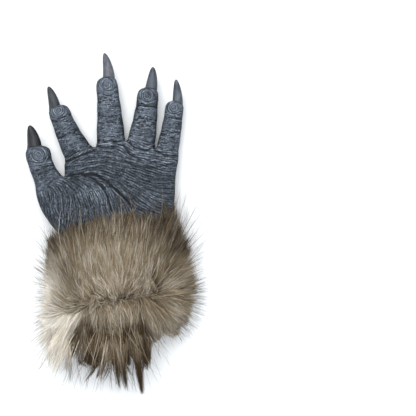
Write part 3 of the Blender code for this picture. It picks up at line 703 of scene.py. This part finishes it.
def drawn_together(lines, around, station, clumps, tightness, rng):
    """Draws hairs towards the nearest of some guide hairs, more so at their tips."""
    at, rise = rng.random(clumps), rng.random(clumps)
    uneven = smoothstep(0.7, 0.95, rise) * (rng.random(clumps) - 0.45)
    guides = combed(at, rise, 1 + 0.55 * uneven, rng, 1.4)
    tree = KDTree(clumps)
    for number, spot in enumerate(sorted_by_side(at, rise)):
        tree.insert(spot, number)
    tree.balance()
    places = sorted_by_side(around, station)
    nearest = np.array([tree.find(spot)[1] for spot in places])
    pull = tightness * (0.5 + 0.9 * rng.random(clumps))[nearest]
    pull = pull * (1 + 0.8 * smoothstep(0.78, 0.97, station))
    pull = np.clip(pull, 0, 0.95)[:, None] * np.linspace(0, 1, SEGMENTS + 1) ** 1.3
    chosen = guides[nearest]
    shifted = chosen - chosen[:, :1] + lines[:, :1]
    toward = chosen * 0.8 + shifted * 0.2
    return lines + (toward - lines) * pull[..., None], nearest


def kept_clear(lines):
    """Shortens hairs that would leave the glove's box, and lifts them off the floor and the latex."""
    reach = lines - lines[:, :1]
    box_low, box_high = np.array(cad_box[0]) - ROOM, np.array(cad_box[1]) + ROOM
    limit = np.where(reach > 0, box_high - lines[:, :1], lines[:, :1] - box_low)
    share = (limit / np.maximum(np.abs(reach), 0.01 * MM)).min(axis=(1, 2))
    lines = lines[:, :1] + reach * np.minimum(1, share)[:, None, None]
    lines[..., 2] = np.maximum(lines[..., 2], 0.3 * MM)
    for hair, point in np.argwhere(lines[:, 1:, 1] > -45 * MM):
        at = Vector(lines[hair, point + 1])
        surface, normal = hand_tree.find_nearest(at, 25 * MM)[:2]
        if surface and (at - surface).dot(normal) < 0.8 * MM:
            lines[hair, point + 1] = surface + normal * (0.9 * MM)
    return lines


def styled(lines, tuft, lock, rng):
    """Each hair's dark tip, paleness and own tone, in a few steps each."""
    count = len(lines)
    (tip_x, tip_y), (middle_x, middle_y) = lines[:, -1, :2].T / MM, lines[:, 2, :2].T / MM
    # The dark border over the palm and at the sides, and the dark patches, strongest in the tails
    aside = np.clip((np.abs(tip_x - WRIST_MIDDLE.x / MM) - 52) / 16, 0, 1)
    border = (0.5 + 0.1 * aside) * smoothstep(-32 - 24 * aside, -8 - 16 * aside, tip_y)
    patch = np.zeros(count)
    for x, y, wide, tall in DARK_PATCHES:
        patch = np.maximum(patch, np.exp(-(((tip_x - x) / wide) ** 2) - ((tip_y - y) / tall) ** 2))
    share = np.maximum(0.5 + 0.6 * (lock * 3 % 5 / 4), smoothstep(-150, -168, tip_y))
    patch = np.minimum(1, 2.0 * patch) * share
    # The paler thumb's side and its lowest corner, partly paler fibre and partly painted light where the
    # thin pile glows against the white floor; and what lies below the parting
    left = smoothstep(-40, -80, middle_x) * smoothstep(-47, -87, middle_y)
    low = smoothstep(-24, -66, tip_x) * smoothstep(-108, -132, tip_y)
    below = smoothstep(-95, -112, middle_y)
    dark = np.maximum(border, patch) + 0.14 * below * (1 - np.maximum(left, low))
    dark += 0.1 * smoothstep(72, 90, tip_x)
    dark += (0.12 + 0.08 * below) * rng.normal(size=count) + 0.16 * (tuft % 7 / 6 - 0.5)
    dark += 0.5 * (rng.random(count) < 0.07)
    pale = (1.1 * left + 0.25 * low + low * (1 - left)) * (1 - patch) - 0.15 * patch
    pale += 0.11 + 0.14 * below + 0.12 * rng.normal(size=count) + 0.18 * (tuft % 5 / 4 - 0.5)
    dark_step = np.round(np.clip(dark, 0, 1) * (DARK_STEPS - 1))
    pale_step = np.round(np.clip(pale, 0, 1) * (PALE_STEPS - 1))
    return np.stack([dark_step, pale_step, rng.integers(0, TONE_STEPS, count)], 1).astype(int)


def hair_mesh(name, lines, styles, half_width, rng):
    """Flat tapering hairs along lines. The map's u is a hair's style, and v runs to its tip."""
    count, points = lines.shape[:2]
    along = np.gradient(lines, axis=1)
    along /= np.linalg.norm(along, axis=2)[..., None]
    out = lines - np.array(WRIST_MIDDLE)
    out[..., 1] = 0
    out = out / np.linalg.norm(out, axis=2)[..., None] + 0.5 * rng.normal(size=(count, 1, 3))
    across = np.cross(along, out)
    across *= half_width[:, None, None] / np.linalg.norm(across, axis=2)[..., None]
    across = across[:, :-1] * np.linspace(1.1, 0.6, points - 1)[:, None]
    body = np.stack([lines[:, :-1] - across, lines[:, :-1] + across], 2).reshape(count, -1, 3)
    vertices = np.concatenate([body, lines[:, -1:]], 1)
    each = vertices.shape[1]
    faces = [(2 * i, 2 * i + 1, 2 * i + 3, 2 * i + 2) for i in range(points - 2)]
    corners = [corner for face in faces for corner in face] + [each - 3, each - 2, each - 1]
    corners = (np.arange(count)[:, None] * each + np.array(corners)).ravel()
    sizes = np.tile([4] * len(faces) + [3], count)
    mesh = bpy.data.meshes.new(name)
    mesh.vertices.add(count * each)
    mesh.vertices.foreach_set("co", vertices.ravel())
    mesh.loops.add(len(corners))
    mesh.loops.foreach_set("vertex_index", corners)
    mesh.polygons.add(len(sizes))
    mesh.polygons.foreach_set("loop_start", np.concatenate([[0], np.cumsum(sizes)[:-1]]))
    mesh.update(calc_edges=True)
    column = ((styles[:, 0] * PALE_STEPS + styles[:, 1]) * TONE_STEPS + styles[:, 2])[:, None]
    columns = DARK_STEPS * PALE_STEPS * TONE_STEPS
    u = (column + np.array([0.2, 0.8] * (points - 1) + [0.5])) / columns
    v = 0.02 + 0.96 * np.array([i // 2 / (points - 1) for i in range(each - 1)] + [1.0])
    spread = np.stack([u, np.broadcast_to(v, u.shape)], 2).reshape(-1, 2)[corners]
    mesh.uv_layers.new(name="OFBake").data.foreach_set("uv", spread.ravel())
    shares = styles / (DARK_STEPS - 1, PALE_STEPS - 1, TONE_STEPS - 1)
    tone = np.concatenate([shares, np.ones((count, 1))], 1)
    layer = mesh.attributes.new("style", "FLOAT_COLOR", "POINT")
    layer.data.foreach_set("color", np.repeat(tone, each, 0).ravel())
    return mesh


# Polyester fur fibre, dyed dark at the tips and slightly glossy along its length, with painted shade
# darkening it towards the roots
fibre, tree, shader = new_material("polyester fur fibre")
layer = add_node(tree, "Attribute", attribute_name="style").outputs[0]
style = add_node(tree, "SeparateColor", {"Color": layer})
unrolled = add_node(tree, "UVMap", uv_map="OFBake").outputs[0]
along = add_node(tree, "SeparateXYZ", {0: unrolled}).outputs["Y"]
# Both ramps are darker towards the root: painted shade where the pile covers its own roots
plain_with_root_shade = colour_ramp(tree, along, (0.0, "#4a3a26"), (0.4, "#7f6e55"), (0.85, "#96866c"))
# The pale ramp's near-white tips also carry the painted light of the thin pile glowing on the thumb's side
pale = colour_ramp(tree, along, (0.0, "#a3947c"), (0.3, "#e6d9c2"), (0.75, "#fffaf0"))
undyed_with_root_shade = mixed(tree, style.outputs["Green"], plain_with_root_shade, pale)
dark = style.outputs["Red"]
start = add_node(tree, "MapRange", {"Value": dark, "To Min": 0.75, "To Max": 0.26}).outputs[0]
end = add_node(tree, "Math", {0: start, 1: 0.35}, operation="ADD").outputs[0]
tipped = add_node(tree, "MapRange", {"Value": along, "From Min": start, "From Max": end}).outputs[0]
strength = add_node(tree, "MapRange", {"Value": dark, "From Max": 0.6}).outputs[0]
tipped = add_node(tree, "Math", {0: tipped, 1: strength}, operation="MULTIPLY").outputs[0]
dyed = mixed(tree, tipped, undyed_with_root_shade, linear("#3d2f1c"))
own = add_node(tree, "MapRange", {"Value": style.outputs["Blue"], "To Min": 0.72, "To Max": 1.25})
shade = add_node(tree, "HueSaturation", {"Value": own.outputs[0], "Color": dyed})
tree.links.new(shade.outputs[0], shader.inputs["Base Color"])
shader.inputs["Roughness"].default_value = 0.55
shader.inputs["Specular IOR Level"].default_value = 0.2

for seed, (name, (count, half_width, length)) in enumerate(PILE.items()):
    stray = name == "fur_guard_hairs"
    loose, tuft_pull, lock_pull = (2.2, 0.15, 0.1) if stray else (0.8, 0.6, 0.35)
    rng = np.random.default_rng(seed + 1)
    tries = 5 * count
    around, station = rng.random(tries), rng.random(tries)
    _, away, across = on_tube(around, station, np.zeros(tries))
    # The pile is denser along the parting
    crowded = rng.random(tries) < 0.12
    near_parting = parting(across) + 0.03 * rng.normal(size=tries)
    station = np.where(crowded, np.clip(near_parting, 0, 1), station)
    under, sideways = away[:, 2] < -0.6, (np.abs(away[:, 0]) > 0.6) & (away[:, 2] > -0.6)
    upper = station < parting(across)
    wanted = {
        "fur_upper": upper & ~sideways & ~under,
        "fur_lower": ~upper & ~sideways & ~under,
        "fur_side": sideways,
        "fur_under": under,
        "fur_guard_hairs": ~under & (sideways | (station > 0.8) | (station < 0.12)),
    }
    chosen = np.flatnonzero(wanted[name])[:count]
    around, station, count = around[chosen], station[chosen], len(chosen)
    lines = combed(around, station, np.full(count, length), rng, loose)
    lines, tuft = drawn_together(lines, around, station, TUFTS, tuft_pull, rng)
    lines, lock = drawn_together(lines, around, station, LOCKS, lock_pull, rng)
    bow = np.sin(np.linspace(0, 2.8, SEGMENTS + 1))[None, :, None]
    lines = lines + loose * 0.8 * MM * rng.normal(size=(count, 1, 3)) * bow
    lines = kept_clear(lines)
    styles = styled(lines, tuft, lock, rng)
    if stray:
        styles[:, 0] = np.maximum(styles[:, 0], rng.integers(3, DARK_STEPS, count))
    widths = half_width * MM * (0.7 + 0.6 * rng.random(count))
    place(name, hair_mesh(name, lines, styles, widths, rng), fibre, "fur")


# The floor, the lights and the camera: a white sheet of card under soft light, seen from above.

# The picture's width in pixels, and what one of them spans on the glove.
PICTURE, PIXEL = 416, 1.1 * MM
LOOK_AT = Vector((105.6 * MM, 8.0 * MM, 25 * MM))
DISTANCE = 2.2

card = bmesh.new()
bmesh.ops.create_grid(card, x_segments=1, y_segments=1, size=3)
card_mesh = bpy.data.meshes.new("floor")
card.to_mesh(card_mesh)
card.free()
floor = bpy.data.objects.new("floor", card_mesh)
bpy.context.scene.collection.objects.link(floor)
# Matt white card
white, tree, shader = new_material("white card")
where = add_node(tree, "TexCoord").outputs["Object"]
cloud = add_node(tree, "TexNoise", {"Vector": where, "Scale": 3.0, "Detail": 2.0}).outputs["Fac"]
tree.links.new(colour_ramp(tree, cloud, (0.3, "#f4f5f5"), (0.7, "#f9faf9")), shader.inputs["Base Color"])
shader.inputs["Roughness"].default_value = 0.8
card_mesh.materials.append(white)

bpy.context.scene.view_settings.view_transform = "Standard"
world = bpy.data.worlds.new("daylight")
world.use_nodes = True
world.node_tree.nodes["Background"].inputs["Color"].default_value = linear("#eef3fa")
world.node_tree.nodes["Background"].inputs["Strength"].default_value = 0.93
bpy.context.scene.world = world
# Size in metres, power in watts and place of each soft box.
for name, size, power, spot in (("key", 1.4, 26, (-0.35, 0.7, 1.9)), ("fill", 1.4, 12, (0.15, 0.05, 2.0))):
    lamp = bpy.data.lights.new(name, "AREA")
    lamp.size, lamp.energy = size, power
    holder = bpy.data.objects.new(name, lamp)
    holder.location = spot
    holder.rotation_euler = (-Vector(spot)).to_track_quat("-Z", "Y").to_euler()
    bpy.context.scene.collection.objects.link(holder)

lens = bpy.data.cameras.new("camera")
lens.sensor_width = 36
lens.lens = lens.sensor_width * DISTANCE / (PICTURE * PIXEL)
lens.clip_end = 20
camera = bpy.data.objects.new("camera", lens)
camera.location = LOOK_AT + Vector((0, 0, DISTANCE))
bpy.context.scene.collection.objects.link(camera)
bpy.context.scene.camera = camera
